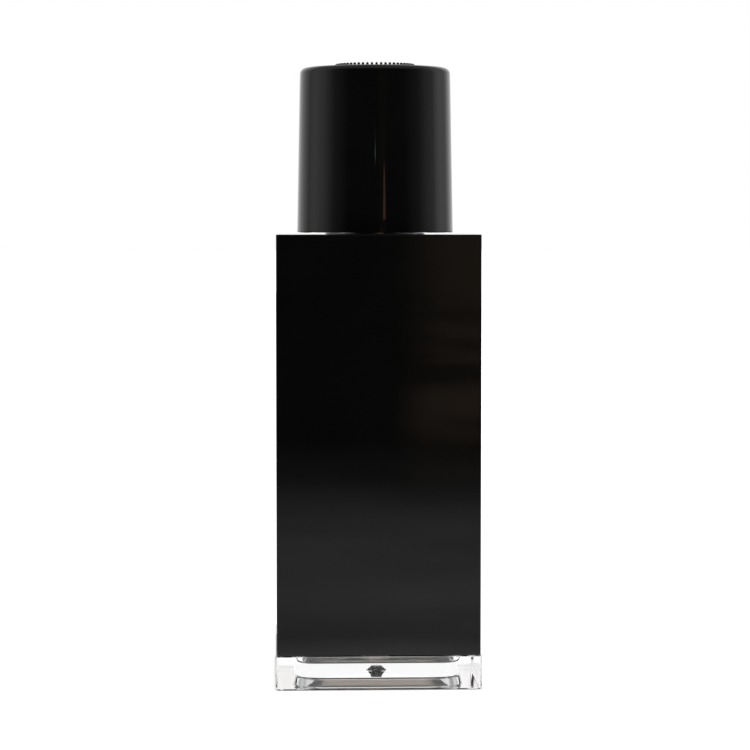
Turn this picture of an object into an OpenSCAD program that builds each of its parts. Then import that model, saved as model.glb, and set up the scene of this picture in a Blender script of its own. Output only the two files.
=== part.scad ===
// Square aftershave bottle: a heavy clear glass flask in a gloss black outer sleeve, a crimped
// fine-mist pump and a round black pull-off cap with a serrated crown insert.
// Millimetres. +Z is up, the origin is the centre of the foot, and the spray leaves along -Y.

/* [Sleeve and glass] */
// Width and depth of the square outer sleeve
sleeve_w = 40; // [39:0.1:42]
// Height of the outer sleeve
sleeve_h = 82.5; // [76:0.1:95]
// Wall thickness of the outer sleeve
sleeve_wall = 1.2; // [1:0.05:1.5]
// Height of the clear glass base that shows below the sleeve
base_h = 6.6; // [6:0.1:9]
// How far the glass base stands out past the sleeve, each side
base_lip = 0.25; // [0.05:0.05:0.3]
// Glass wall thickness behind the sleeve
glass_wall = 2.5; // [2:0.1:3.5]
// Glass thickness under the reservoir
floor_t = 4.7; // [4.2:0.1:5.5]

/* [Cap] */
// Cap diameter at its mouth
cap_d_mouth = 31.4; // [30.2:0.1:34]
// Cap diameter at its top
cap_d_top = 30.2; // [29:0.1:32.6]
// Cap height
cap_h = 32.9; // [32.6:0.1:36]
// Cap wall thickness
cap_wall = 1.4; // [1.2:0.1:1.6]
// Air gap between the cap's mouth and the sleeve's top
cap_gap = 0.3; // [0.2:0.05:0.6]

/* [Crown insert] */
// Diameter of the serrated insert in the cap's top
crown_d = 16; // [14:0.1:20]
// How far the insert stands up out of the cap
crown_rise = 0.8; // [0.7:0.05:1.4]
// Number of serrations round the insert
crown_teeth = 54; // [36:1:60]

/* [Pump] */
// Travel of the stem and actuator
stroke = 5; // [3.5:0.1:5.2]
// Share of the stem's travel that the piston makes
piston_share = 0.86; // [0.85:0.01:0.9]
// Outside diameter of the hollow stem
stem_d = 3.9; // [3.8:0.05:3.9]
// Outside diameter of the actuator
actuator_d = 12.8; // [12.8:0.1:13.4]
// Outside diameter of the collar that the cap grips
collar_d = 20; // [19.8:0.1:20.4]
// Height of the collar
collar_h = 13.4; // [13:0.1:13.6]
// Outside diameter of the dip tube
tube_d = 2.4; // [2:0.1:2.6]

/* [Hidden] */
$fn = 64;

eps = 0.01;               // overrun that lets a cut break through
slide_fit = 0.1;          // clearance of a part that slides over another
run_fit = 0.05;           // radial clearance of a pump part that runs in a bore

// Sleeve and glass levels
top_z = base_h + sleeve_h;                       // sleeve's top face
body_w = sleeve_w - 2 * (sleeve_wall + slide_fit); // glass inside the sleeve
shoulder_z = top_z - sleeve_wall - slide_fit;    // glass shoulder under the sleeve's top
cavity_w = body_w - 2 * glass_wall;
cavity_top = shoulder_z - 4;                     // reservoir ceiling
cavity_round = 0.8;                              // softening of the reservoir's floor and ceiling
base_r = 0.9;                                    // vertical corners of the glass base
base_chamfer = 0.6;                              // softened foot edge
push_up_w = 33.3;                                // square recess under the foot
push_up_h = 1.8;
push_up_draft = 0.2;
push_up_r = 6;
dimple_r = 2.3;                                   // moulding mark in the middle of the foot
dimple_h = 0.85;
dimple_taper = 0.52;

// Neck finish, a 15 mm crimp bead
neck_top = shoulder_z + 8.5;
neck_r = 6.6;
bead_r = 7.5;
bead_h = 3.3;
bore_r = 4.7;
sleeve_hole_r = 7.8;

// Pump levels, counted from the glass neck's rim
gasket_t = 1;
flange_r = 7.3;
housing_top = neck_top + gasket_t;               // underside of the housing's flange
flange_t = 1;
turret_z = housing_top + flange_t;               // underside of the turret's flange
turret_flange_t = 1;
tower_r = 4.9;
tower_top = turret_z + turret_flange_t + 1.6;
ferrule_t = 0.4;
ferrule_r = 8.1;
crimp_z = neck_top - bead_h - 1.2;               // lowest edge of the crimped skirt
barrel_r = 4.3;                                  // housing outside
cylinder_r = 3;                                  // bore that the piston runs in
cylinder_top = housing_top - 1.4;
cylinder_floor = housing_top - 17;
stem_r = stem_d / 2;
guide_t = 1.2;                                   // turret wall that guides the stem
stop_z = tower_top - guide_t;                    // ceiling that the stem's stop meets
stop_r = 2.5;
stop_t = 1.15;
shank_r = 1.6;
tail_r = 2.2;
tail_t = 1;
piston_top = cylinder_top - 0.2;
piston_h = 3.8;
tail_z = piston_top - piston_h - 0.1 - tail_t;   // underside of the stem's tail
stem_top = tower_top + 9.4;

// Inlet valve
ball_r = 1.2;
ball_gap = 0.02;
seat_apex = cylinder_floor - 4.5;                // tip of the 45 degree seat, if it went on
channel_r = 0.6;
chamber_r = 1.5;
ball_z = seat_apex + ball_r * sqrt(2) + ball_gap;
lip_z = seat_apex + 3.3;
lip_r = 1.05;
socket_top = seat_apex - 0.4;                    // dip tube's upper end
socket_depth = 6;
socket_wall = 0.9;
tube_end_z = floor_t + 1.6;

// Actuator
skirt_z = tower_top + 4.4;                       // skirt's lower edge at rest
actuator_h = 11;
actuator_top = skirt_z + actuator_h;
shell_t = 0.35;                                  // metal skin on the actuator and its clearance
core_r = actuator_d / 2 - shell_t - 0.02;
skirt_r = 5.6;                                   // inside of the skirt
roof_z = skirt_z + 2.2;
post_z = skirt_z + 1.2;
post_r = 3.2;
socket_r = stem_r + 0.02;
nozzle_z = stem_top + 1.6;
nozzle_r = 2.2;
nozzle_l = 3;

// Collar
collar_t = 0.6;
collar_top = top_z + collar_h;
collar_hole_r = 7.2;

// Cap
cap_z = top_z + cap_gap;
cap_top = cap_z + cap_h;
cap_roof = 1.5;
cap_edge = 1.2;                                  // radius of the cap's top edge
cap_ceiling = cap_top - cap_roof;
seat_depth = 0.5;                                // how deep the crown insert sits
peg_r = 2.5;
liner_r = collar_d / 2 + slide_fit;
liner_wall = 1.2;
liner_step_z = collar_top + run_fit;             // ledge that rests on the collar
liner_top = liner_step_z + 1.4;
liner_mouth = cap_z + 0.3;
liner_ribs = 6;
tooth_h = 0.45;
crown_land = 0.5;                                // width of the serrated rim

// ---- shared shapes -------------------------------------------------------

// Outline of a square with rounded corners, centred
function rounded_square_points(w, r, steps = 8) =
    [for (q = [0:3]) for (i = [0:steps])
        let (a = 90 * q + 90 * i / steps,
             cx = (q == 0 || q == 3) ? 1 : -1,
             cy = (q < 2) ? 1 : -1)
        [cx * (w / 2 - r) + r * cos(a), cy * (w / 2 - r) + r * sin(a)]];

module rounded_square(w, r) { polygon(rounded_square_points(w, r)); }

// Square post with rounded vertical corners, from z0 to z1
module post(w, r, z0, z1) {
    translate([0, 0, z0]) linear_extrude(z1 - z0) rounded_square(w, r);
}

// Square post whose width changes evenly from z0 to z1
module tapered_post(w0, w1, r, z0, z1) {
    hull() {
        post(w0, r, z0, z0 + eps);
        post(w1, r, z1 - eps, z1);
    }
}

module tube(r_out, r_in, z0, z1) {
    translate([0, 0, z0]) difference() {
        cylinder(r = r_out, h = z1 - z0);
        translate([0, 0, -1]) cylinder(r = r_in, h = z1 - z0 + 2);
    }
}

// Height along a compression spring after t turns: the end turns lie closed
function coil_z(t, turns, length, wire) =
    let (closed = wire * 1.1,
         open = (length - wire - 2 * closed) / (turns - 2))
    wire / 2 + (t < 1 ? closed * t
              : t > turns - 1 ? closed + open * (turns - 2) + closed * (t - turns + 1)
              : closed + open * (t - 1));

// Round-wire compression spring standing on z = 0
module coil_spring(r, wire, turns, length, sides = 8, per_turn = 18) {
    rings = turns * per_turn;
    points = [for (i = [0:rings]) for (j = [0:sides - 1])
        let (t = i / per_turn, a = 360 * t, b = 360 * j / sides,
             rr = r + wire / 2 * cos(b))
        [rr * cos(a), rr * sin(a), coil_z(t, turns, length, wire) + wire / 2 * sin(b)]];
    walls = [for (i = [0:rings - 1]) for (j = [0:sides - 1])
        let (k = (j + 1) % sides, p = i * sides, q = p + sides)
        each [[p + j, p + k, q + k], [p + j, q + k, q + j]]];
    start_cap = [for (j = [1:sides - 2]) [0, j + 1, j]];
    last = rings * sides;
    end_cap = [for (j = [1:sides - 2]) [last, last + j, last + j + 1]];
    polyhedron(points, concat(walls, start_cap, end_cap), convexity = 10);
}

// ---- glass and sleeve ----------------------------------------------------

module glass_neck() {
    rotate_extrude() polygon([
        [0, shoulder_z - 2],
        [neck_r + 1, shoulder_z - 2],
        [neck_r + 1, shoulder_z],
        [neck_r, shoulder_z + 0.8],
        [neck_r, neck_top - bead_h - 0.5],
        [bead_r - 0.2, neck_top - bead_h],
        [bead_r, neck_top - bead_h + 0.4],
        [bead_r, neck_top - 0.6],
        [bead_r - 0.5, neck_top],
        [0, neck_top]]);
}

module reservoir() {
    r = 3;
    slope = cavity_round;
    tapered_post(cavity_w - 2 * slope, cavity_w, r, floor_t, floor_t + slope);
    post(cavity_w, r, floor_t + slope, cavity_top - slope);
    tapered_post(cavity_w, cavity_w - 2 * slope, r, cavity_top - slope, cavity_top);
    translate([0, 0, floor_t + slope]) cylinder(r = bore_r, h = neck_top);
}

module foot_hollow() {
    tapered_post(push_up_w, push_up_w - 2 * push_up_draft, push_up_r, -eps, push_up_h);
    translate([0, 0, push_up_h - eps])
        cylinder(r1 = dimple_r, r2 = dimple_r * dimple_taper, h = dimple_h);
}

module glass_bottle() {
    base_w = sleeve_w + 2 * base_lip;
    color("lightcyan", 0.4) difference() {
        union() {
            tapered_post(base_w - 2 * base_chamfer, base_w, base_r, 0, base_chamfer);
            post(base_w, base_r, base_chamfer, base_h);
            post(body_w, 1.2, base_h, shoulder_z);
            glass_neck();
        }
        reservoir();
        foot_hollow();
    }
}

module outer_sleeve() {
    color([0.02, 0.02, 0.02]) difference() {
        post(sleeve_w, 0.4, base_h, top_z);
        post(sleeve_w - 2 * sleeve_wall, 0.8, base_h - 1, top_z - sleeve_wall);
        cylinder(r = sleeve_hole_r, h = top_z + 1);
    }
}

// ---- cap -----------------------------------------------------------------

function cap_r(z) = let (share = (z - cap_z) / cap_h)
    cap_d_mouth / 2 + share * (cap_d_top - cap_d_mouth) / 2;

module cap_shell() {
    color([0.03, 0.03, 0.03]) difference() {
        rotate_extrude() polygon([
            [0, cap_z],
            [cap_r(cap_z) - 0.2, cap_z],
            [cap_r(cap_z), cap_z + 0.2],
            for (a = [0:15:90])
                [cap_r(cap_top) - cap_edge * (1 - cos(a)), cap_top - cap_edge * (1 - sin(a))],
            [0, cap_top]]);
        rotate_extrude() polygon([
            [0, cap_z - 1],
            [cap_r(cap_z - 1) - cap_wall, cap_z - 1],
            [cap_r(cap_ceiling) - cap_wall, cap_ceiling - 0.8],
            [cap_r(cap_ceiling) - cap_wall - 0.8, cap_ceiling],
            [0, cap_ceiling]]);
        translate([0, 0, cap_top - seat_depth]) cylinder(r = crown_d / 2 + 0.05, h = 2);
        translate([0, 0, cap_ceiling - 1]) cylinder(r = peg_r, h = 5);
    }
}

// Grips the collar, and reaches the shell with a mouth flange and ribs
module cap_liner() {
    rib_r = cap_r(liner_top) - cap_wall - run_fit;
    flange_reach = cap_r(liner_mouth) - cap_wall - run_fit;
    color("dimgray") difference() {
        union() {
            translate([0, 0, liner_mouth])
                cylinder(r = liner_r + liner_wall, h = liner_top - liner_mouth);
            translate([0, 0, liner_mouth])
                cylinder(r1 = flange_reach, r2 = flange_reach - 0.02, h = 1.2);
            for (i = [0:liner_ribs - 1])
                rotate(360 * i / liner_ribs)
                    translate([liner_r + liner_wall / 2, -0.5, liner_mouth + 0.5])
                        cube([rib_r - liner_r - liner_wall / 2 - 0.02, 1, liner_top - liner_mouth - 0.5]);
        }
        translate([0, 0, liner_mouth - 1])
            cylinder(r = liner_r, h = liner_step_z - liner_mouth + 1);
        translate([0, 0, liner_mouth - eps])
            cylinder(r1 = liner_r + 0.5, r2 = liner_r, h = 0.8);
        translate([0, 0, liner_step_z - 1])
            cylinder(r = liner_r - 1.5, h = 5);
    }
}

module crown_insert() {
    r = crown_d / 2;
    z = cap_top - seat_depth;
    rim_z = cap_top + crown_rise;
    pitch = 360 / crown_teeth;
    half_gap = 0.36 * r * sin(pitch);
    color([0.04, 0.04, 0.04]) union() {
        difference() {
            translate([0, 0, z]) cylinder(r = r, h = rim_z - z);
            translate([0, 0, rim_z - 0.9]) cylinder(r1 = r - crown_land - 0.3, r2 = r - crown_land, h = 1);
            for (i = [0:crown_teeth - 1])
                rotate([90, 0, i * pitch + 90])
                    translate([0, rim_z, r - crown_land - 0.5])
                        linear_extrude(crown_land + 1)
                            polygon([[-half_gap * 1.1, tooth_h * 0.1],
                                     [0, -tooth_h],
                                     [half_gap * 1.1, tooth_h * 0.1]]);
        }
        translate([0, 0, cap_ceiling]) cylinder(r = peg_r - 0.02, h = z - cap_ceiling + 0.1);
    }
}

// ---- collar, ferrule and gasket -----------------------------------------

module collar_shell() {
    r = collar_d / 2;
    color("silver") rotate_extrude() polygon([
        [r - collar_t, top_z],
        [r, top_z],
        [r, collar_top - 0.4],
        [r - 0.4, collar_top],
        [collar_hole_r, collar_top],
        [collar_hole_r, collar_top - collar_t],
        [r - collar_t, collar_top - collar_t]]);
}

// Plastic ring that carries the collar on the ferrule and snaps under its crimp
module collar_ring() {
    r = collar_d / 2 - collar_t - 0.02;
    grip_r = ferrule_r + 0.03;
    color("gainsboro") rotate_extrude() polygon([
        [grip_r, crimp_z + 0.2],
        [ferrule_r - 0.35, crimp_z - 0.15],
        [ferrule_r - 0.35, crimp_z - 0.7],
        [grip_r + 0.2, crimp_z - 1.2],
        [grip_r + 0.2, top_z + 0.2],
        [r, top_z + 0.2],
        [r, collar_top - collar_t - 0.02],
        [collar_hole_r + 0.1, collar_top - collar_t - 0.02],
        [collar_hole_r + 0.1, collar_top - collar_t - 1],
        [grip_r, collar_top - collar_t - 1.8]]);
}

module crimp_ferrule() {
    plate_z = turret_z + turret_flange_t;
    in_r = ferrule_r - ferrule_t;
    color("silver") rotate_extrude() polygon([
        [stem_r + 0.35, tower_top],
        [tower_r + 0.05, tower_top],
        [tower_r + 0.05, plate_z],
        [in_r, plate_z],
        [in_r, neck_top - bead_h + 0.3],
        [neck_r + 0.45, crimp_z + 0.15],
        [neck_r + 0.75, crimp_z - 0.1],
        [ferrule_r, neck_top - bead_h + 0.1],
        [ferrule_r, plate_z + ferrule_t - 0.3],
        [ferrule_r - 0.3, plate_z + ferrule_t],
        [tower_r + 0.05 + ferrule_t, plate_z + ferrule_t],
        [tower_r + 0.05 + ferrule_t, tower_top + ferrule_t - 0.3],
        [tower_r - 0.25 + ferrule_t, tower_top + ferrule_t],
        [stem_r + 0.35, tower_top + ferrule_t]]);
}

module neck_gasket() {
    color("dimgray") tube(flange_r, barrel_r + 0.1, neck_top, housing_top);
}

// ---- pump ----------------------------------------------------------------

module pump_housing() {
    color("white") rotate_extrude() polygon([
        // outside, upwards
        [socket_r_in(), socket_top - socket_depth],
        [socket_r_in() + socket_wall, socket_top - socket_depth],
        [socket_r_in() + socket_wall, seat_apex],
        [chamber_r + 1, seat_apex + 1],
        [chamber_r + 1, cylinder_floor - 1],
        [cylinder_r + 0.8, cylinder_floor],
        [cylinder_r + 0.8, cylinder_top - 2],
        [barrel_r, cylinder_top - 1],
        [barrel_r, housing_top],
        [flange_r, housing_top],
        [flange_r, housing_top + flange_t],
        // inside, downwards
        [cylinder_r + 0.5, housing_top + flange_t],
        [cylinder_r + 0.5, cylinder_top],
        [cylinder_r, cylinder_top],
        [cylinder_r, cylinder_floor],
        [chamber_r - 0.1, cylinder_floor],
        [lip_r, lip_z + 0.3],
        [lip_r, lip_z],
        [chamber_r, lip_z - 0.1],
        [chamber_r, seat_apex + chamber_r],
        [channel_r, seat_apex + channel_r],
        [channel_r, socket_top],
        [socket_r_in(), socket_top]]);
}

function socket_r_in() = tube_d / 2 + 0.02;

module pump_turret() {
    color("whitesmoke") rotate_extrude() polygon([
        [stop_r + 0.1, cylinder_top],
        [cylinder_r + 0.45, cylinder_top],
        [cylinder_r + 0.45, turret_z],
        [flange_r, turret_z],
        [flange_r, turret_z + turret_flange_t],
        [tower_r, turret_z + turret_flange_t],
        [tower_r, tower_top],
        [stem_r + run_fit, tower_top],
        [stem_r + run_fit, stop_z],
        [stop_r + 0.1, stop_z]]);
}

module stem() {
    duct_r = 0.9;
    port_z = tail_z + tail_t + 1.2;
    color("ivory") difference() {
        rotate_extrude() polygon([
            [0, tail_z],
            [tail_r - 0.3, tail_z],
            [tail_r, tail_z + 0.3],
            [tail_r, tail_z + tail_t - 0.3],
            [shank_r, tail_z + tail_t],
            [shank_r, stop_z - stop_t],
            [stop_r, stop_z - stop_t],
            [stop_r, stop_z - run_fit],
            [stem_r, stop_z - run_fit],
            [stem_r, stem_top - 0.3],
            [stem_r - 0.3, stem_top],
            [0, stem_top]]);
        translate([0, 0, port_z]) cylinder(r = duct_r, h = stem_top);
        translate([0, 0, port_z + 0.5]) rotate([90, 0, 0]) cylinder(r = 0.4, h = 4, center = true);
    }
}

module piston() {
    r = cylinder_r - run_fit;
    bore = shank_r + run_fit;
    z = piston_top - piston_h;
    color("aliceblue") rotate_extrude() polygon([
        [bore, z],
        [bore + 0.25, z],
        [bore + 0.35, z + 1.4],
        [r - 0.45, z + 1.4],
        [r - 0.35, z + 0.1],
        [r, z],
        [r, z + 0.7],
        [r - 0.2, z + 1.2],
        [r - 0.2, piston_top - 1.2],
        [r, piston_top - 0.7],
        [r, piston_top],
        [r - 0.35, piston_top - 0.1],
        [r - 0.45, piston_top - 0.9],
        [stop_r + 0.05, piston_top - 0.9],
        [bore, piston_top - 0.9]]);
}

module return_spring() {
    color("silver") translate([0, 0, cylinder_floor + 0.05])
        coil_spring(1.85, 0.45, 8, tail_z - cylinder_floor - 0.1);
}

module valve_spring() {
    z = piston_top - 0.85;
    color("silver") translate([0, 0, z])
        coil_spring(2.05, 0.35, 4, stop_z - stop_t - z - 0.05);
}

module inlet_ball() {
    color("silver") translate([0, 0, ball_z]) sphere(r = ball_r);
}

module dip_tube() {
    color("white", 0.6) difference() {
        tube(tube_d / 2, tube_d / 4, tube_end_z, socket_top - run_fit);
        translate([0, 0, tube_end_z - 1.2]) rotate([0, 35, 0])
            translate([0, 0, -2]) cube([8, 8, 4], center = true);
    }
}

// ---- actuator ------------------------------------------------------------

module nozzle_axis() { translate([0, 0, nozzle_z]) rotate([90, 0, 0]) children(); }

module actuator_core() {
    color([0.1, 0.1, 0.1]) difference() {
        rotate_extrude() polygon([
            [0, skirt_z + 0.02],
            [core_r, skirt_z + 0.02],
            [core_r, actuator_top - shell_t - 0.02],
            [0, actuator_top - shell_t - 0.02]]);
        tube(skirt_r, post_r, skirt_z - 1, roof_z);
        translate([0, 0, skirt_z - 1]) cylinder(r = post_r + 0.5, h = post_z - skirt_z + 1);
        translate([0, 0, post_z - 1]) cylinder(r = socket_r, h = stem_top + 0.2 - post_z + 1);
        translate([0, 0, stem_top]) cylinder(r = 0.6, h = nozzle_z - stem_top);
        nozzle_axis() cylinder(r = 0.7, h = core_r);
        nozzle_axis() translate([0, 0, core_r - nozzle_l]) cylinder(r = nozzle_r + 0.02, h = 10);
    }
}

// Thin metal cup over the core, with a window for the nozzle
module actuator_shell() {
    r = actuator_d / 2;
    inner_r = r - shell_t;
    color([0.05, 0.05, 0.05]) difference() {
        rotate_extrude() polygon([
            [inner_r, skirt_z],
            [r, skirt_z],
            [r, actuator_top - 0.6],
            [r - 0.2, actuator_top - 0.2],
            [r - 0.6, actuator_top],
            [0, actuator_top],
            [0, actuator_top - shell_t],
            [inner_r, actuator_top - shell_t]]);
        nozzle_axis() cylinder(r = nozzle_r + 0.25, h = 10);
    }
}

module nozzle_insert() {
    orifice_r = 0.2;
    color("white") nozzle_axis() translate([0, 0, core_r - nozzle_l]) difference() {
        union() {
            cylinder(r = nozzle_r, h = nozzle_l - 0.3);
            translate([0, 0, nozzle_l - 0.3]) cylinder(r1 = nozzle_r, r2 = nozzle_r - 0.3, h = 0.3);
        }
        translate([0, 0, -1]) cylinder(r = 1.2, h = nozzle_l);
        cylinder(r = orifice_r, h = 10);
        translate([0, 0, nozzle_l - 0.5]) cylinder(r1 = orifice_r, r2 = 0.9, h = 0.6);
    }
}

// ---- nodes ---------------------------------------------------------------

glass_bottle();
outer_sleeve();
cap_shell();
cap_liner();
crown_insert();
collar_shell();
collar_ring();
crimp_ferrule();
neck_gasket();
pump_housing();
pump_turret();
stem();
piston();
return_spring();
valve_spring();
inlet_ball();
dip_tube();
actuator_core();
actuator_shell();
nozzle_insert();
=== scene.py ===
"""Square aftershave bottle: clear glass flask, gloss black sleeve, spray pump and round pull-off cap.

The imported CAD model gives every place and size. The pieces made here replace the CAD nodes that
show, with true edge radii and lathed or lofted surfaces, and every node gets a procedural material.
Lengths are in millimetres, and MM turns them into metres. A value in metres says so.
"""
import math

import bmesh
import bpy
from mathutils import Matrix, Vector


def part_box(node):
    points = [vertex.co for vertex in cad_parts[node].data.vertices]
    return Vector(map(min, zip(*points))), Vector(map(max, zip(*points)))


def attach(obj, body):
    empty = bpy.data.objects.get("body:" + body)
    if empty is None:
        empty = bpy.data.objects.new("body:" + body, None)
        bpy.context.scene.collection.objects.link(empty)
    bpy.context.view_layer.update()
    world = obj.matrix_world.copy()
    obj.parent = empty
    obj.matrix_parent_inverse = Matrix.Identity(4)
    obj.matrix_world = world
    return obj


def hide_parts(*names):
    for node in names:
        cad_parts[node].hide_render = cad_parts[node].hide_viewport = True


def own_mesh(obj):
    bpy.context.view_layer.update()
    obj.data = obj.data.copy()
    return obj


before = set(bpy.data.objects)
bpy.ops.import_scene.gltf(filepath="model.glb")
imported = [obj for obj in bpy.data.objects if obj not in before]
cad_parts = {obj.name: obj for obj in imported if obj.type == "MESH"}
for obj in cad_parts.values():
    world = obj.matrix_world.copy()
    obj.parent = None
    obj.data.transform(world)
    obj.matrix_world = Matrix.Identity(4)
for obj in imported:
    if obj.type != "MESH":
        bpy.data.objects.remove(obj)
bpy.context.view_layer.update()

MM = 0.001


def node_box(name):
    """A CAD node's lowest and highest corner, in millimetres."""
    low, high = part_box(name)
    return low / MM, high / MM


# ---------------------------------------------------------------- outlines

SIDE_STEPS = 8        # points along each straight side of a square ring
CORNER_STEPS = 8      # points round each of its corners
CIRCLE_SIDE_ARC = 60  # degrees of a circle that stand for one straight side


def square_ring(width, radius, z):
    """Points round a square with rounded corners, in the same order as circle_ring's."""
    half = width / 2
    flat = half - radius
    points = []
    for side in range(4):
        turn = side * math.pi / 2
        local = [(half, -flat + 2 * flat * i / SIDE_STEPS) for i in range(SIDE_STEPS)]
        for i in range(CORNER_STEPS):
            a = math.pi / 2 * i / CORNER_STEPS
            local.append((flat + radius * math.cos(a), flat + radius * math.sin(a)))
        for x, y in local:
            points.append((x * math.cos(turn) - y * math.sin(turn),
                           x * math.sin(turn) + y * math.cos(turn), z))
    return points


def circle_ring(radius, z):
    """Points round a circle, bunched as a square ring's are so that the two join cleanly."""
    points = []
    corner_arc = 90 - CIRCLE_SIDE_ARC
    for side in range(4):
        start = side * 90 - CIRCLE_SIDE_ARC / 2
        angles = [start + CIRCLE_SIDE_ARC * i / SIDE_STEPS for i in range(SIDE_STEPS)]
        start += CIRCLE_SIDE_ARC
        angles += [start + corner_arc * i / CORNER_STEPS for i in range(CORNER_STEPS)]
        for a in angles:
            points.append((radius * math.cos(math.radians(a)), radius * math.sin(math.radians(a)), z))
    return points


def mixed_ring(width, corner, radius, z, share):
    """A ring that is share of the way from a square to a circle."""
    return [tuple(a + (b - a) * share for a, b in zip(p, q))
            for p, q in zip(square_ring(width, corner, z), circle_ring(radius, z))]


def arc(centre_r, centre_z, radius, start, end, steps=6):
    """(r, z) points of an arc, from start to end in degrees, 0 pointing outwards and 90 up."""
    return [(centre_r + radius * math.cos(math.radians(start + (end - start) * i / steps)),
             centre_z + radius * math.sin(math.radians(start + (end - start) * i / steps)))
            for i in range(steps + 1)]


# ---------------------------------------------------------------- meshes

def finish_mesh(name, bm, body, replaced, material):
    bmesh.ops.remove_doubles(bm, verts=bm.verts, dist=1e-8)
    bmesh.ops.recalc_face_normals(bm, faces=bm.faces)
    mesh = bpy.data.meshes.new(name)
    bm.to_mesh(mesh)
    bm.free()
    mesh.polygons.foreach_set("use_smooth", [True] * len(mesh.polygons))
    piece = bpy.data.objects.new(name, mesh)
    bpy.context.scene.collection.objects.link(piece)
    weights = piece.modifiers.new("even_shading", "WEIGHTED_NORMAL")
    weights.keep_sharp = True
    mesh.materials.append(material)
    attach(piece, body)
    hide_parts(*replaced)
    return piece


def add_rings(bm, rings, wrap=False, start_pole=None, end_pole=None):
    """Quads between rings that have the same number of points, with a fan to each pole."""
    made = [[bm.verts.new(Vector(p) * MM) for p in ring] for ring in rings]
    pairs = list(zip(made, made[1:]))
    if wrap:
        pairs.append((made[-1], made[0]))
    count = len(made[0])
    for low, high in pairs:
        for i in range(count):
            j = (i + 1) % count
            bm.faces.new((low[i], low[j], high[j], high[i]))
    for pole, ring in ((start_pole, made[0]), (end_pole, made[-1])):
        if pole is not None:
            tip = bm.verts.new(Vector(pole) * MM)
            for i in range(count):
                bm.faces.new((ring[i], ring[(i + 1) % count], tip))
    return made


def lathe_rings(profile, steps=160):
    """Full circles for a list of (r, z)."""
    return [[(r * math.cos(2 * math.pi * i / steps), r * math.sin(2 * math.pi * i / steps), z)
             for i in range(steps)] for r, z in profile]


def lathe_mesh(profile, steps=160):
    """A turned solid. A profile whose ends lie on the axis is closed by poles, and any other wraps."""
    bm = bmesh.new()
    if profile[0][0] < 1e-6:
        add_rings(bm, lathe_rings(profile[1:-1], steps), start_pole=(0, 0, profile[0][1]),
                  end_pole=(0, 0, profile[-1][1]))
    else:
        add_rings(bm, lathe_rings(profile, steps), wrap=True)
    return bm


def lathe(name, profile, body, replaced, material, steps=160):
    return finish_mesh(name, lathe_mesh(profile, steps), body, replaced, material)


# ---------------------------------------------------------------- materials

def new_material(name):
    material = bpy.data.materials.new(name)
    material.use_nodes = True
    tree = material.node_tree
    shader = tree.nodes["Principled BSDF"]
    return material, tree, shader


def node(tree, kind, inputs=None, **settings):
    made = tree.nodes.new(kind)
    for key, value in settings.items():
        setattr(made, key, value)
    for key, value in (inputs or {}).items():
        if isinstance(value, bpy.types.NodeSocket):
            tree.links.new(value, made.inputs[key])
        else:
            made.inputs[key].default_value = value
    return made


def math_node(tree, operation, *values):
    return node(tree, "ShaderNodeMath", dict(enumerate(values)), operation=operation).outputs[0]


def object_place(tree):
    return node(tree, "ShaderNodeTexCoord").outputs["Object"]


def ramp(tree, source, low, high, at=(0.0, 1.0)):
    """A colour or grey that runs from low to high as source runs over at."""
    made = node(tree, "ShaderNodeMapRange", {"Value": source, "From Min": at[0], "From Max": at[1],
                                             "To Min": low, "To Max": high})
    return made.outputs["Result"]


def colour_ramp(tree, source, stops):
    made = node(tree, "ShaderNodeValToRGB", {"Fac": source})
    elements = made.color_ramp.elements
    while len(elements) < len(stops):
        elements.new(0.5)
    for element, (at, colour) in zip(elements, stops):
        element.position = at
        element.color = (*colour, 1)
    return made.outputs["Color"]


def stops_between(pairs, low, high):
    """Colour stops for (place, grey level or colour) pairs, with places from low to high."""
    return [((at - low) / (high - low), level if isinstance(level, tuple) else (level,) * 3)
            for at, level in pairs]


def noise(tree, place, scale, detail=3.0, roughness=0.5):
    return node(tree, "ShaderNodeTexNoise", {"Vector": place, "Scale": scale, "Detail": detail,
                                             "Roughness": roughness}).outputs["Fac"]


def stretched(tree, place, scale):
    return node(tree, "ShaderNodeMapping", {"Vector": place, "Scale": scale}).outputs["Vector"]


def scaled(tree, colour, share):
    made = node(tree, "ShaderNodeVectorMath", {0: colour, 1: share}, operation="MULTIPLY")
    return made.outputs["Vector"]


def added(tree, first, second):
    return node(tree, "ShaderNodeVectorMath", {0: first, 1: second}, operation="ADD").outputs["Vector"]


def distance_from_axis(tree):
    """Millimetres from the bottle's axis, level with the floor."""
    flat = node(tree, "ShaderNodeVectorMath", {0: object_place(tree), 1: (1000, 1000, 0)},
                operation="MULTIPLY").outputs["Vector"]
    return node(tree, "ShaderNodeVectorMath", {0: flat}, operation="LENGTH").outputs["Value"]


def square_distance(tree):
    """Millimetres from the axis along X or Y, whichever is more, so its outlines are squares."""
    parts = node(tree, "ShaderNodeSeparateXYZ", {"Vector": object_place(tree)}).outputs
    across = math_node(tree, "ABSOLUTE", parts["X"])
    along = math_node(tree, "ABSOLUTE", parts["Y"])
    return math_node(tree, "MULTIPLY", math_node(tree, "MAXIMUM", across, along), 1000.0)


def turn_share(tree):
    """Angle round the bottle, 0 at the front, as a share from -180 to 180 degrees."""
    parts = node(tree, "ShaderNodeSeparateXYZ", {"Vector": object_place(tree)}).outputs
    front = math_node(tree, "MULTIPLY", parts["Y"], -1.0)
    return ramp(tree, math_node(tree, "ARCTAN2", parts["X"], front), 0.0, 1.0, (-math.pi, math.pi))


def bump(tree, shader, height, distance, strength=1.0, below=None):
    inputs = {"Height": height, "Distance": distance, "Strength": strength}
    if below is not None:
        inputs["Normal"] = below
    made = node(tree, "ShaderNodeBump", inputs)
    tree.links.new(made.outputs["Normal"], shader.inputs["Normal"])
    return made.outputs["Normal"]


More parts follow.
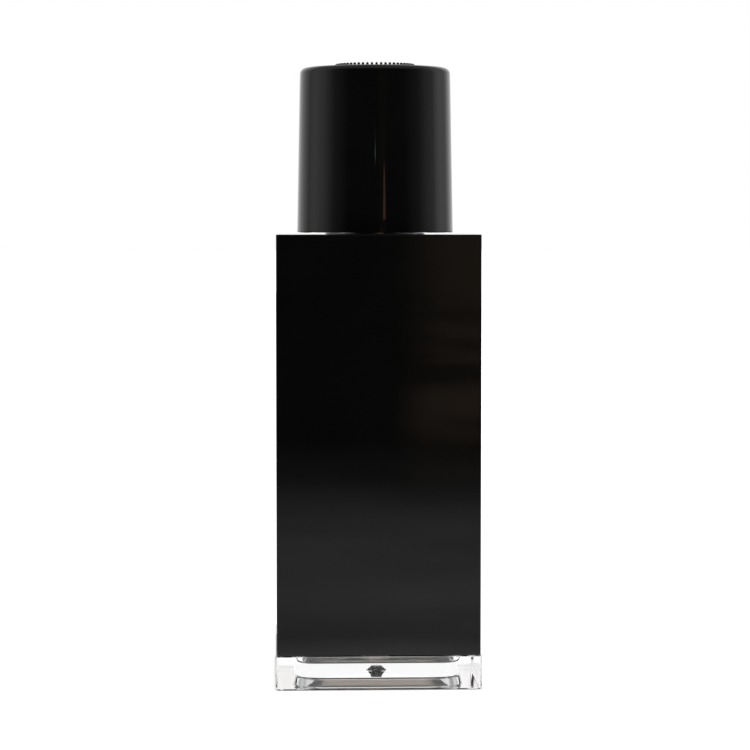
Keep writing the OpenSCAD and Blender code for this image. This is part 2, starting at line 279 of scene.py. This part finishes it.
def gloss_black(name, wave=0.000004):
    """Black lacquer: slight orange peel, faint hairlines and a little dust."""
    material, tree, shader = new_material(name)
    place = object_place(tree)
    tint = colour_ramp(tree, noise(tree, place, 60, 4), [(0.3, (0.0012, 0.0013, 0.0012)),
                                                         (0.7, (0.0019, 0.0020, 0.0019))])
    tree.links.new(tint, shader.inputs["Base Color"])
    hair = noise(tree, stretched(tree, place, (900, 900, 40)), 1.0, 2)
    smudge = noise(tree, place, 45, 5, 0.6)
    mixed = node(tree, "ShaderNodeMath", {0: ramp(tree, hair, 0.0, 0.02, (0.5, 0.75)),
                                          1: ramp(tree, smudge, 0.015, 0.04, (0.35, 0.7))},
                 operation="ADD").outputs[0]
    tree.links.new(mixed, shader.inputs["Roughness"])
    shader.inputs["IOR"].default_value = 1.5
    peel = noise(tree, place, 120, 2)
    bump(tree, shader, peel, wave)
    return material


def satin_black(name):
    """Moulded black plastic with a fine grain."""
    material, tree, shader = new_material(name)
    place = object_place(tree)
    tint = colour_ramp(tree, noise(tree, place, 900, 3), [(0.3, (0.006, 0.006, 0.006)),
                                                          (0.7, (0.011, 0.0105, 0.010))])
    tree.links.new(tint, shader.inputs["Base Color"])
    tree.links.new(ramp(tree, noise(tree, place, 400, 4), 0.22, 0.38), shader.inputs["Roughness"])
    bump(tree, shader, noise(tree, place, 4000, 2), 0.000006)
    return material


def clear_glass(name):
    """Pressed clear glass with slow waves in its surface.

    Its corner columns, outside the foot's recess, are faintly clouded and carry a painted pinkish-grey
    shade, and the tip of the moulding mark is stippled. The two ranges that say where are in metres.
    """
    material, tree, shader = new_material(name)
    place = object_place(tree)
    parts = node(tree, "ShaderNodeSeparateXYZ", {"Vector": place}).outputs
    nearest = math_node(tree, "MINIMUM", math_node(tree, "ABSOLUTE", parts["X"]),
                        math_node(tree, "ABSOLUTE", parts["Y"]))
    column = ramp(tree, nearest, 0.0, 1.0, (0.0164, 0.0171))
    uneven = ramp(tree, noise(tree, place, 260, 4), 0.82, 1.0, (0.35, 0.6))
    frost_and_shade = math_node(tree, "MULTIPLY", column, uneven)
    # painted shade: the corner columns turn pinkish grey; the same mask also roughens them as real
    # clouding
    tint = colour_ramp(tree, frost_and_shade, [(0.0, (0.985, 0.99, 0.99)), (1.0, (0.91, 0.893, 0.888))])
    tree.links.new(tint, shader.inputs["Base Color"])
    shader.inputs["Transmission Weight"].default_value = 1.0
    shader.inputs["IOR"].default_value = 1.5
    wear = ramp(tree, noise(tree, place, 70, 4), 0.0, 0.012, (0.4, 0.8))
    stipple = math_node(tree, "MULTIPLY", ramp(tree, distance_from_axis(tree), 0.5, 0.0, (1.15, 1.3)),
                        ramp(tree, parts["Z"], 1.0, 0.0, (0.0030, 0.0032)))
    worn = math_node(tree, "ADD", wear, math_node(tree, "MULTIPLY", frost_and_shade, 0.035))
    tree.links.new(math_node(tree, "ADD", worn, stipple), shader.inputs["Roughness"])
    waves = noise(tree, stretched(tree, place, (1, 1, 2.5)), 55, 1)
    bump(tree, shader, waves, 0.00003)
    return material


def metal(name, colours, roughness, lines=(30, 30, 2500), depth=0.000004):
    """Turned or anodised metal: fine rings round the axis and small changes in tone."""
    material, tree, shader = new_material(name)
    place = object_place(tree)
    tint = colour_ramp(tree, noise(tree, place, 80, 4), [(0.3, colours[0]), (0.7, colours[1])])
    tree.links.new(tint, shader.inputs["Base Color"])
    shader.inputs["Metallic"].default_value = 1.0
    rings = noise(tree, stretched(tree, place, lines), 1.0, 3)
    tree.links.new(ramp(tree, rings, roughness[0], roughness[1], (0.3, 0.7)),
                   shader.inputs["Roughness"])
    bump(tree, shader, rings, depth)
    return material


def moulded(name, colours, roughness=(0.35, 0.5), grain=2500, soft=0.0):
    """Plain moulded plastic or rubber with a fine skin."""
    material, tree, shader = new_material(name)
    place = object_place(tree)
    tint = colour_ramp(tree, noise(tree, place, 150, 4), [(0.3, colours[0]), (0.7, colours[1])])
    tree.links.new(tint, shader.inputs["Base Color"])
    tree.links.new(ramp(tree, noise(tree, place, 300, 3), *roughness), shader.inputs["Roughness"])
    bump(tree, shader, noise(tree, place, grain, 2), 0.000008)
    if soft:
        shader.inputs["Subsurface Weight"].default_value = soft
        shader.inputs["Subsurface Radius"].default_value = (0.0012, 0.0011, 0.001)
    return material


def clear_plastic(name):
    material, tree, shader = new_material(name)
    place = object_place(tree)
    shader.inputs["Base Color"].default_value = (0.93, 0.95, 0.95, 1)
    shader.inputs["Transmission Weight"].default_value = 0.85
    shader.inputs["IOR"].default_value = 1.49
    tree.links.new(ramp(tree, noise(tree, place, 200, 3), 0.12, 0.25), shader.inputs["Roughness"])
    bump(tree, shader, noise(tree, stretched(tree, place, (600, 600, 20)), 1.0, 2), 0.00001)
    return material


LACQUER = gloss_black("gloss_black_lacquer")
SATIN = satin_black("satin_black_plastic")
GLASS = clear_glass("clear_pressed_glass")
ALUMINIUM = metal("polished_aluminium", ((0.72, 0.72, 0.73), (0.82, 0.82, 0.83)), (0.12, 0.24))
ANODISED = metal("black_anodised_aluminium", ((0.018, 0.018, 0.02), (0.03, 0.03, 0.032)), (0.16, 0.3))
STEEL = metal("spring_steel", ((0.5, 0.5, 0.51), (0.63, 0.62, 0.61)), (0.2, 0.35), (900, 900, 900))
WHITE = moulded("white_acetal", ((0.78, 0.78, 0.76), (0.84, 0.84, 0.82)), soft=0.15)
GREY = moulded("grey_polypropylene", ((0.045, 0.045, 0.047), (0.06, 0.06, 0.06)))
RUBBER = moulded("black_rubber", ((0.012, 0.012, 0.012), (0.02, 0.019, 0.018)), (0.6, 0.8), 1500)
TUBE = clear_plastic("clear_tube_plastic")

# ---------------------------------------------------------------- glass flask

glass_low, glass_high = node_box("glass_bottle")
sleeve_low, sleeve_high = node_box("outer_sleeve")

BASE_W = glass_high.x - glass_low.x
BASE_H = sleeve_low.z - glass_low.z
SLEEVE_W = sleeve_high.x - sleeve_low.x
SLEEVE_WALL = 1.2
GLASS_W = SLEEVE_W - 2 * (SLEEVE_WALL + 0.1)
SHOULDER_Z = sleeve_high.z - SLEEVE_WALL - 0.1
NECK_TOP = glass_high.z
CAVITY_W = GLASS_W - 5.0
CAVITY_R = 3.0
FLOOR_Z = 4.7
CEILING_Z = SHOULDER_Z - 4.0
NECK_R, BEAD_R, BORE_R = 6.6, 7.5, 4.7
BEAD_LOW = NECK_TOP - 3.3
RECESS_W, RECESS_H, RECESS_CORNER, RECESS_DRAFT = 33.3, 1.8, 6.0, 0.2
RECESS_SAG = 0.15     # how far the recess dips at its middle and rises at its edge
MARK_R, MARK_H = 2.3, 0.85


def foot_rings():
    """From the middle of the foot out to its rim: the moulding mark, the square recess and its wall."""
    low, high = RECESS_H - RECESS_SAG, RECESS_H + RECESS_SAG
    tip_r, tip_z, soft = MARK_R * 0.52, low + MARK_H, 0.12
    rings = [circle_ring(tip_r / 2, tip_z)]
    rings += [circle_ring(r, z) for r, z in arc(tip_r - soft, tip_z - soft, soft, 90, 20, 3)]
    rings += [circle_ring(MARK_R, low + 0.06), circle_ring(MARK_R + soft, low)]
    edge, lip = 0.45, 0.3
    ceiling_w = RECESS_W - 2 * (RECESS_DRAFT + edge)
    steps = 10
    for i in range(1, steps + 1):
        share = i / steps
        side = 2 * MARK_R + (ceiling_w - 2 * MARK_R) * share
        z = low + (high - low) * share * share
        rings.append(mixed_ring(side, min(RECESS_CORNER, side / 2.1), side / 2, z, 1 - share))
    for r, z in arc(0, high - edge, edge, 90, 8, 6)[1:]:           # ceiling turns into wall
        rings.append(square_ring(ceiling_w + 2 * r, RECESS_CORNER, z))
    for r, z in arc(RECESS_W / 2 + lip, lip, lip, 172, 270, 5):    # wall turns into rim
        rings.append(square_ring(2 * r, RECESS_CORNER, z))
    return rings, (0, 0, tip_z)


def glass_flask():
    bm = bmesh.new()
    rings, pole = foot_rings()
    corner, foot_r = 0.9, 0.65
    rings.append(square_ring(BASE_W - 2.4, 2.5, 0))
    for r, z in arc(-foot_r, foot_r, foot_r, -90, 0, 8):       # foot edge
        rings.append(square_ring(BASE_W + 2 * r, max(0.3, corner + r * 0.6), z))
    ledge_r = 0.18
    for r, z in arc(-ledge_r, BASE_H - ledge_r, ledge_r, 0, 90, 4):  # ledge under the sleeve
        rings.append(square_ring(BASE_W + 2 * r, corner, z))
    rings.append(square_ring(GLASS_W, 1.2, BASE_H))
    shoulder_r = 0.9
    for r, z in arc(-shoulder_r, SHOULDER_Z - shoulder_r, shoulder_r, 0, 90, 5):
        rings.append(square_ring(GLASS_W + 2 * r, 1.2, z))
    neck = [(NECK_R + 1.0, SHOULDER_Z), (NECK_R + 0.3, SHOULDER_Z + 0.3), (NECK_R, SHOULDER_Z + 0.9),
            (NECK_R, BEAD_LOW - 0.5)]
    neck += arc(BEAD_R - 0.7, BEAD_LOW + 0.7, 0.7, -60, 0, 4)
    neck += arc(BEAD_R - 0.7, NECK_TOP - 0.7, 0.7, 0, 90, 5)
    neck += [(BORE_R + 0.4, NECK_TOP), (BORE_R + 0.1, NECK_TOP - 0.12), (BORE_R, NECK_TOP - 0.45),
             (BORE_R, CEILING_Z + 0.6)]
    neck += [(BORE_R + 0.2, CEILING_Z + 0.15), (BORE_R + 0.7, CEILING_Z)]
    rings += [circle_ring(r, z) for r, z in neck]
    soft = 0.8
    for r, z in arc(-soft, CEILING_Z - soft, soft, 90, 0, 5):
        rings.append(square_ring(CAVITY_W + 2 * r, CAVITY_R, z))
    for r, z in arc(-soft, FLOOR_Z + soft, soft, 0, -90, 5):
        rings.append(square_ring(CAVITY_W + 2 * r, CAVITY_R, z))
    rings.append(mixed_ring(CAVITY_W / 2, CAVITY_R, CAVITY_W / 4, FLOOR_Z, 0.5))
    rings.append(circle_ring(CAVITY_W / 8, FLOOR_Z))
    add_rings(bm, rings, start_pole=pole, end_pole=(0, 0, FLOOR_Z))
    return finish_mesh("glass_flask", bm, "bottle", ["glass_bottle"], GLASS)


# ---------------------------------------------------------------- outer sleeve

def sleeve():
    bm = bmesh.new()
    low, high = sleeve_low.z + 0.03, sleeve_high.z   # clear of the ledge it stands on
    edge, top_edge, corner = 0.3, 0.16, 0.4
    inner_w, inner_top = SLEEVE_W - 2 * SLEEVE_WALL, high - SLEEVE_WALL
    hole_r = 7.8
    rings = []
    for r, z in arc(-edge, low + edge, edge, -90, 0, 5):
        rings.append(square_ring(SLEEVE_W + 2 * r, corner, z))
    for r, z in arc(-top_edge, high - top_edge, top_edge, 0, 90, 5):
        rings.append(square_ring(SLEEVE_W + 2 * r, corner, z))
    for r, z in ((hole_r + 0.15, high), (hole_r, high - 0.15), (hole_r, inner_top + 0.1),
                 (hole_r + 0.1, inner_top)):
        rings.append(circle_ring(r, z))
    rings.append(square_ring(inner_w - 0.8, 0.8, inner_top))
    rings.append(square_ring(inner_w, 0.8, inner_top - 0.4))
    rings.append(square_ring(inner_w, 0.8, low + 0.1))
    rings.append(square_ring(inner_w + 0.2, 0.8, low))
    add_rings(bm, rings, wrap=True)
    return finish_mesh("sleeve_shell", bm, "bottle", ["outer_sleeve"], LACQUER)


# ---------------------------------------------------------------- cap

cap_low, cap_high = node_box("cap_shell")
crown_low, crown_high = node_box("crown_insert")
MOUTH_R = (cap_high.x - cap_low.x) / 2
TOP_R = MOUTH_R - 0.6
CAP_WALL, CAP_ROOF = 1.4, 1.5
CROWN_R = (crown_high.x - crown_low.x) / 2
SEAT_DEPTH = 0.5
WAVE_H, WAVE_REACH = 0.035, 0.6                # height of the mouth's waves, and how far up they fade
MOUTH_WAVES = ((12, 1.0, 0.0), (19, 0.6, 1.1), (43, 0.5, 2.3))   # waves round, share, phase


def cap():
    low, high = cap_low.z, cap_high.z
    lean = (MOUTH_R - TOP_R) / (high - low)
    edge, mouth = 1.2, 0.2
    ceiling = high - CAP_ROOF
    inner_top = TOP_R - CAP_WALL
    profile = arc(MOUTH_R - mouth, low + mouth, mouth, -90, 0, 5)
    for i in range(1, 12):
        z = low + mouth + (high - low - mouth - edge) * i / 12
        profile.append((MOUTH_R - lean * (z - low), z))
    profile += arc(TOP_R - edge, high - edge, edge, 0, 90, 10)
    profile += [(CROWN_R + 0.15, high), (CROWN_R + 0.05, high - 0.1),
                (CROWN_R + 0.05, high - SEAT_DEPTH), (2.5, high - SEAT_DEPTH), (2.5, ceiling),
                (inner_top - 0.8, ceiling)]
    profile += arc(inner_top - 0.8, ceiling - 0.8, 0.8, 90, 0, 5)
    profile += [(MOUTH_R - CAP_WALL, low + 0.15), (MOUTH_R - CAP_WALL + 0.15, low)]
    bm = lathe_mesh(profile, 224)
    for vertex in bm.verts:      # the moulded mouth isn't quite flat, so light leaks under it unevenly
        height = vertex.co.z / MM - low
        if height < WAVE_REACH:
            a = math.atan2(vertex.co.y, vertex.co.x)
            wave = sum(share * math.sin(waves * a + phase) for waves, share, phase in MOUTH_WAVES)
            vertex.co.z += WAVE_H * wave * (1 - height / WAVE_REACH) * MM
    return finish_mesh("cap_body", bm, "cap", ["cap_shell"], LACQUER)


def crown():
    """Serrated ring: the same notches right round, cut down through its rim."""
    teeth, notch = 54, 0.55
    inner_r, rim_z, floor_z = CROWN_R - 0.5, crown_high.z, crown_high.z - 0.9
    seat_z, peg_z = cap_high.z - SEAT_DEPTH, crown_low.z
    # share of the notch's depth at each step round one tooth
    shape = ((0.0, 1.0), (0.16, 0.92), (0.25, 0.5), (0.30, 0.12), (0.38, 0.0), (0.5, 0.0),
             (0.62, 0.0), (0.70, 0.12), (0.75, 0.5), (0.84, 0.92))
    angles = [(2 * math.pi * (t + at) / teeth, deep) for t in range(teeth) for at, deep in shape]
    rows = [(2.45, peg_z, 0), (2.45, seat_z, 0), (CROWN_R, seat_z, 0), (CROWN_R, rim_z - 0.75, 0),
            (CROWN_R, rim_z - 0.14, 1), (CROWN_R - 0.05, rim_z - 0.04, 1), (CROWN_R - 0.15, rim_z, 1),
            (inner_r + 0.12, rim_z, 1), (inner_r + 0.03, rim_z - 0.04, 1), (inner_r, rim_z - 0.12, 1),
            (inner_r - 0.05, rim_z - 0.75, 0), (inner_r - 0.1, floor_z, 0), (inner_r - 2.5, floor_z, 0)]
    bm = bmesh.new()
    rings = [[(r * math.cos(a), r * math.sin(a), z - moves * deep * notch) for a, deep in angles]
             for r, z, moves in rows]
    add_rings(bm, rings, start_pole=(0, 0, peg_z), end_pole=(0, 0, floor_z))
    return finish_mesh("crown_ring", bm, "cap", ["crown_insert"], SATIN)


# ---------------------------------------------------------------- pieces under the cap

def collar():
    """Spun aluminium cover over the crimp, with a rolled edge at its mouth."""
    low, high = node_box("collar_shell")
    r, wall, hole, roll = (high.x - low.x) / 2, 0.6, 7.2, 0.45
    profile = [(r - wall, low.z)] + arc(r - 0.1, low.z + 0.1, 0.1, -90, 0, 3)
    profile += arc(r - roll, high.z - roll, roll, 0, 90, 8)
    profile += arc(hole + 0.2, high.z - 0.2, 0.2, 90, 180, 4)
    profile += [(hole, high.z - wall), (r - wall - 0.2, high.z - wall),
                (r - wall, high.z - wall - 0.2)]
    return lathe("collar_cover", profile, "bottle", ["collar_shell"],
                 ALUMINIUM, 192)


def ferrule():
    """Thin metal cup: a tower round the turret, a flat plate, a skirt and its crimp under the bead."""
    low, high = node_box("crimp_ferrule")
    wall, skirt_r, hole = 0.4, (high.x - low.x) / 2, 2.3
    turret_r, turret_rise = 4.95, 1.6
    tower_r = turret_r + wall
    plate = node_box("pump_turret")[1].z - turret_rise + wall
    profile = arc(tower_r - 0.4, high.z - 0.4, 0.4, 90, 0, 6)
    profile += [(tower_r, plate + 0.2), (tower_r + 0.06, plate + 0.06), (tower_r + 0.2, plate)]
    profile += arc(skirt_r - 0.4, plate - 0.4, 0.4, 90, 0, 6)
    profile += [(skirt_r, BEAD_LOW + 0.15), (skirt_r - 0.08, BEAD_LOW - 0.1), (7.4, low.z + 0.06),
                (7.34, low.z), (7.2, low.z + 0.1), (7.06, low.z + 0.25),
                (skirt_r - wall, BEAD_LOW + 0.3),
                (skirt_r - wall, plate - wall), (tower_r - wall, plate - wall),
                (tower_r - wall, high.z - wall), (hole, high.z - wall), (hole, high.z - 0.08),
                (hole + 0.08, high.z)]
    return lathe("ferrule_cup", profile, "bottle", ["crimp_ferrule"], ALUMINIUM)


def linked(name, bm):
    """A loose object with bm's mesh, for a Boolean."""
    mesh = bpy.data.meshes.new(name)
    bm.to_mesh(mesh)
    bm.free()
    made = bpy.data.objects.new(name, mesh)
    bpy.context.scene.collection.objects.link(made)
    return made


def punched(solid_bm, punch_bm, sharp=40):
    """solid_bm with punch_bm cut out of it, and its edges over sharp degrees kept crisp."""
    solid, punch = linked("punched_solid", solid_bm), linked("punch", punch_bm)
    cut = solid.modifiers.new("window", "BOOLEAN")
    cut.operation, cut.solver, cut.object = "DIFFERENCE", "EXACT", punch
    shaped = bpy.data.meshes.new_from_object(
        solid.evaluated_get(bpy.context.evaluated_depsgraph_get()))
    for made in (solid, punch):
        bpy.data.objects.remove(made)
    bm = bmesh.new()
    bm.from_mesh(shaped)
    for edge in bm.edges:
        if len(edge.link_faces) == 2 and edge.calc_face_angle() > math.radians(sharp):
            edge.smooth = False
    return bm


def face_front(bm, z):
    """Turns a mesh made along Z to point out of the front of the bottle, at height z."""
    bmesh.ops.rotate(bm, verts=bm.verts, matrix=Matrix.Rotation(math.pi / 2, 3, "X"))
    bmesh.ops.translate(bm, verts=bm.verts, vec=Vector((0, 0, z)) * MM)


def actuator():
    """Anodised cup over the button, with a round window for the nozzle."""
    low, high = node_box("actuator_shell")
    r, wall, roll = (high.x - low.x) / 2, 0.35, 0.65
    nozzle_low, nozzle_high = node_box("nozzle_insert")
    window_r = (nozzle_high.x - nozzle_low.x) / 2 + 0.25
    profile = [(0, high.z)] + [(step * (r - roll) / 6, high.z) for step in range(1, 6)]
    profile += arc(r - roll, high.z - roll, roll, 90, 0, 10)
    profile += [(r, high.z - 2.5 - i * (high.z - low.z - 2.6) / 8) for i in range(9)]
    profile += [(r - 0.1, low.z), (r - wall, low.z), (r - wall, high.z - roll),
                (r - roll - 0.2, high.z - wall), (0, high.z - wall)]
    cup = lathe_mesh(profile, 128)
    bmesh.ops.recalc_face_normals(cup, faces=cup.faces)
    punch = bmesh.new()
    bmesh.ops.create_cone(punch, cap_ends=True, segments=64, radius1=window_r * MM,
                          radius2=window_r * MM, depth=r * MM)
    bmesh.ops.translate(punch, verts=punch.verts, vec=Vector((0, 0, r)) * MM)
    face_front(punch, (nozzle_low.z + nozzle_high.z) / 2)
    return finish_mesh("actuator_cup", punched(cup, punch), "actuator",
                       ["actuator_shell"], ANODISED)


def nozzle():
    """Spray insert: a round plug with a dished face and a pinhole."""
    low, high = node_box("nozzle_insert")
    r, back, face = (high.x - low.x) / 2, -high.y, -low.y
    hole = 0.2
    profile = [(hole, back), (r - 0.1, back), (r, back + 0.1)]
    profile += arc(r - 0.3, face - 0.3, 0.3, 0, 90, 6)
    profile += [(1.25, face), (1.1, face - 0.03), (0.9, face - 0.14), (0.5, face - 0.36),
                (hole, face - 0.5)]
    bm = lathe_mesh(profile, 96)
    face_front(bm, (low.z + high.z) / 2)
    return finish_mesh("nozzle_plug", bm, "actuator", ["nozzle_insert"], WHITE)


def coil(name, replaced, wire, turns, body):
    """Round-wire compression spring with its end turns closed, on a mesh of its own."""
    low, high = node_box(replaced)
    length, coil_r = high.z - low.z, (high.x - low.x) / 2 - wire / 2
    closed, sides, per_turn = wire * 1.1, 12, 36          # the end turns lie closed
    open_pitch = (length - wire - 2 * closed) / (turns - 2)
    rings, centres = [], []
    for i in range(turns * per_turn + 1):
        t = i / per_turn
        inside = min(max(t - 1, 0), turns - 2)
        z = low.z + wire / 2 + closed * (t - inside) + open_pitch * inside
        turn = 2 * math.pi * t
        ring = []
        for j in range(sides):
            a = 2 * math.pi * j / sides
            r = coil_r + wire / 2 * math.cos(a)
            ring.append((r * math.cos(turn), r * math.sin(turn), z + wire / 2 * math.sin(a)))
        rings.append(ring)
        centres.append((coil_r * math.cos(turn), coil_r * math.sin(turn), z))
    bm = bmesh.new()
    add_rings(bm, rings, start_pole=centres[0], end_pole=centres[-1])
    piece = finish_mesh(name, bm, body, [replaced], STEEL)
    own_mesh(piece)
    return piece


glass_flask()
sleeve()
cap()
crown()
collar()
ferrule()
actuator()
nozzle()
coil("return_coil", "return_spring", wire=0.45, turns=8, body="bottle")
coil("valve_coil", "valve_spring", wire=0.35, turns=4, body="stem")

# ---------------------------------------------------------------- materials on the CAD nodes

FINISHES = {
    "cap_liner": GREY, "collar_ring": WHITE, "neck_gasket": RUBBER, "pump_housing": WHITE,
    "pump_turret": WHITE, "stem": WHITE, "piston": WHITE, "inlet_ball": STEEL,
    "dip_tube": TUBE, "actuator_core": SATIN,
}
for name, material in FINISHES.items():
    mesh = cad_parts[name].data
    mesh.materials.clear()
    mesh.materials.append(material)

# ---------------------------------------------------------------- studio


def stage_object(name, vertices, faces, material, seen=True):
    mesh = bpy.data.meshes.new(name)
    mesh.from_pydata(vertices, [], faces)
    mesh.materials.append(material)
    made = bpy.data.objects.new(name, mesh)
    bpy.context.scene.collection.objects.link(made)
    if not seen:
        made.visible_camera = False
        made.visible_shadow = False
        made.visible_diffuse = False
    return made


PAINTED_UNDER_LIGHT = (0.23, 0.20, 0.17)       # painted warm light under the bottle's middle, standing in for light that creeps in through the glass


def floor():
    """Translucent white table that glows evenly round the bottle, with painted shadow under the
    bottle's foot and painted warm light under its middle.
    """
    material, tree, shader = new_material("pale_floor")
    place = object_place(tree)
    tint = colour_ramp(tree, noise(tree, place, 8, 3), [(0.3, (0.90, 0.90, 0.90)),
                                                        (0.7, (0.93, 0.93, 0.93))])
    tree.links.new(tint, shader.inputs["Base Color"])
    shader.inputs["Roughness"].default_value = 0.9
    shader.inputs["Specular IOR Level"].default_value = 0.1
    # emission: painted warm light under the bottle's middle, painted shadow under its foot, and an even
    # lightbox glow further out
    glow = colour_ramp(tree, ramp(tree, square_distance(tree), 0.0, 1.0, (0, 30)), stops_between([
        (0, PAINTED_UNDER_LIGHT), (10, PAINTED_UNDER_LIGHT), (12.6, 0.01), (19.6, 0.0), (21, 0.6)], 0, 30))
    tree.links.new(glow, shader.inputs["Emission Color"])
    shader.inputs["Emission Strength"].default_value = 1.0
    size, z = 6.0, -0.06 * MM       # just clear of the glass, which touches it only at high spots
    corners = [(-size, -size, z), (size, -size, z), (size, size, z), (-size, size, z)]
    stage_object("studio_floor", corners, [(0, 1, 2, 3)], material)


def emission(name, build):
    """A stage material that only glows, in the colour that build makes from the object's place."""
    material = bpy.data.materials.new(name)
    material.use_nodes = True
    tree = material.node_tree
    tree.nodes.clear()
    glow = tree.nodes.new("ShaderNodeEmission")
    out = tree.nodes.new("ShaderNodeOutputMaterial")
    tree.links.new(glow.outputs[0], out.inputs["Surface"])
    tree.links.new(build(tree), glow.inputs["Color"])
    return material


WARM = (0.19, 0.125, 0.085)      # the warm side of the room, right of the camera
WARM_FROM, WARM_TO = (3.2, 4.3), (12, 16)


def warm_side(tree):
    """The warm colour over its own sector, black elsewhere."""
    return colour_ramp(tree, turn_share(tree), stops_between([
        (WARM_FROM[0], 0.0), (WARM_FROM[1], WARM), (WARM_TO[0], WARM), (WARM_TO[1], 0.0)], -180, 180))


def sky_colour(tree):
    """The tent's brightness by the angle round the bottle: 0 at the front, 180 behind.

    A soft panel stands on each side, then a darker join, then the bright background.
    """
    panels = stops_between([
        (-165, 1.0), (-137, 0.62), (-118, 0.34), (-103, 0.56), (-86, 0.48), (-66, 0.13), (-42, 0.007),
        (0, 0.007), (42, 0.012), (66, 0.11), (82, 0.31), (96, 0.38), (100, 0.56), (110, 0.67),
        (127, 0.43), (144, 0.85), (158, 1.0)], -180, 180)
    tent = colour_ramp(tree, turn_share(tree), panels)
    height = node(tree, "ShaderNodeSeparateXYZ", {"Vector": object_place(tree)}).outputs["Z"]
    low_down = ramp(tree, height, 0.9, 0.12, (0.125, 0.165))
    lit = added(tree, tent, scaled(tree, warm_side(tree), low_down))
    return node(tree, "ShaderNodeMix", {"Factor": ramp(tree, height, 0.0, 1.0, (1.3, 2.1)), "A": lit,
                                        "B": (0.36, 0.36, 0.36, 1)}, data_type="RGBA").outputs["Result"]


def dome():
    """The tent that the gloss reflects."""
    radius, rows, columns = 2.5, 24, 96
    bm = bmesh.new()
    bmesh.ops.create_uvsphere(bm, u_segments=columns, v_segments=rows, radius=radius)
    mesh = bpy.data.meshes.new("dome_shape")
    bm.to_mesh(mesh)
    bm.free()
    vertices = [tuple(v.co) for v in mesh.vertices]
    faces = [tuple(p.vertices) for p in mesh.polygons]
    stage_object("studio_dome", vertices, faces, emission("studio_light", sky_colour), seen=False)


def flag_colour(tree):
    """What the gloss sees in the table: bright near the bottle, dark further off, warm at one side."""
    near, far = 20, 620
    away = ramp(tree, distance_from_axis(tree), 0.0, 1.0, (near, far))
    table = colour_ramp(tree, away, stops_between([
        (near, 0.95), (48, 0.8), (80, 0.39), (136, 0.50), (207, 0.43), (297, 0.31), (412, 0.07),
        (569, 0.006)], near, far))
    uneven = ramp(tree, noise(tree, object_place(tree), 14, 3), 0.86, 1.14, (0.3, 0.7))
    table = scaled(tree, table, uneven)
    drift = ramp(tree, noise(tree, object_place(tree), 5, 2), 0.2, 1.1, (0.35, 0.6))
    patches = math_node(tree, "MULTIPLY", drift, ramp(tree, away, 0.0, 1.0, (0.6, 0.95)))
    return added(tree, table, scaled(tree, warm_side(tree), patches))


def flag():
    """A ring over the table that only reflections see, with a hole where the bottle stands."""
    inner, outer, z, steps = 0.0245, 2.498, 0.0006, 96
    rings = [(r * math.cos(2 * math.pi * i / steps), r * math.sin(2 * math.pi * i / steps), z)
             for r in (inner, outer) for i in range(steps)]
    faces = [(i, (i + 1) % steps, steps + (i + 1) % steps, steps + i) for i in range(steps)]
    made = stage_object("studio_flag", rings, faces, emission("flag_shade", flag_colour), seen=False)
    made.visible_transmission = False


def card(name, turn, low, high, width, colour):
    """A small upright card in front, narrower at its top, that only shows as a glint in the cap.

    turn, low and high are degrees round and above the front direction.
    """
    away = 1.2
    middle = Vector((math.sin(math.radians(turn)), -math.cos(math.radians(turn)), 0)) * away
    side = Vector((math.cos(math.radians(turn)), math.sin(math.radians(turn)), 0)) * width / 2
    heights = [0.093 + away * math.tan(math.radians(angle)) for angle in (low, high)]
    corners = [middle - side, middle + side, middle + side * 0.4, middle - side * 0.4]
    vertices = [(*corner.xy, heights[i // 2]) for i, corner in enumerate(corners)]

    def plain(tree):
        shade = ramp(tree, noise(tree, object_place(tree), 30, 2), 0.75, 1.1)
        return scaled(tree, colour, shade)

    made = stage_object(name, vertices, [(0, 1, 2, 3)], emission(name + "_glow", plain), seen=False)
    made.visible_transmission = False


def cards():
    card("warm_card", 11.3, 1.9, 3.5, 0.085, (0.75, 0.34, 0.22))
    card("small_card", -1.9, 3.8, 4.2, 0.03, (1.2, 1.3, 1.4))


def lights():
    world = bpy.data.worlds.new("studio_white")
    world.use_nodes = True
    world.node_tree.nodes["Background"].inputs["Color"].default_value = (1, 1, 1, 1)
    world.node_tree.nodes["Background"].inputs["Strength"].default_value = 1.0
    bpy.context.scene.world = world


def camera():
    distance, height, turn, tilt = 0.52, 0.0932, math.radians(-2.25), math.radians(3.32)
    data = bpy.data.cameras.new("camera")
    data.lens = 123.6
    data.sensor_width = 36
    data.shift_y = -0.0164
    data.clip_start, data.clip_end = 0.01, 20
    made = bpy.data.objects.new("camera", data)
    bpy.context.scene.collection.objects.link(made)
    made.location = (distance * math.sin(turn), -distance * math.cos(turn), height)
    made.rotation_euler = (math.pi / 2 - tilt, 0, turn)
    bpy.context.scene.camera = made


floor()
dome()
flag()
cards()
lights()
camera()
bpy.context.scene.view_settings.view_transform = "Standard"
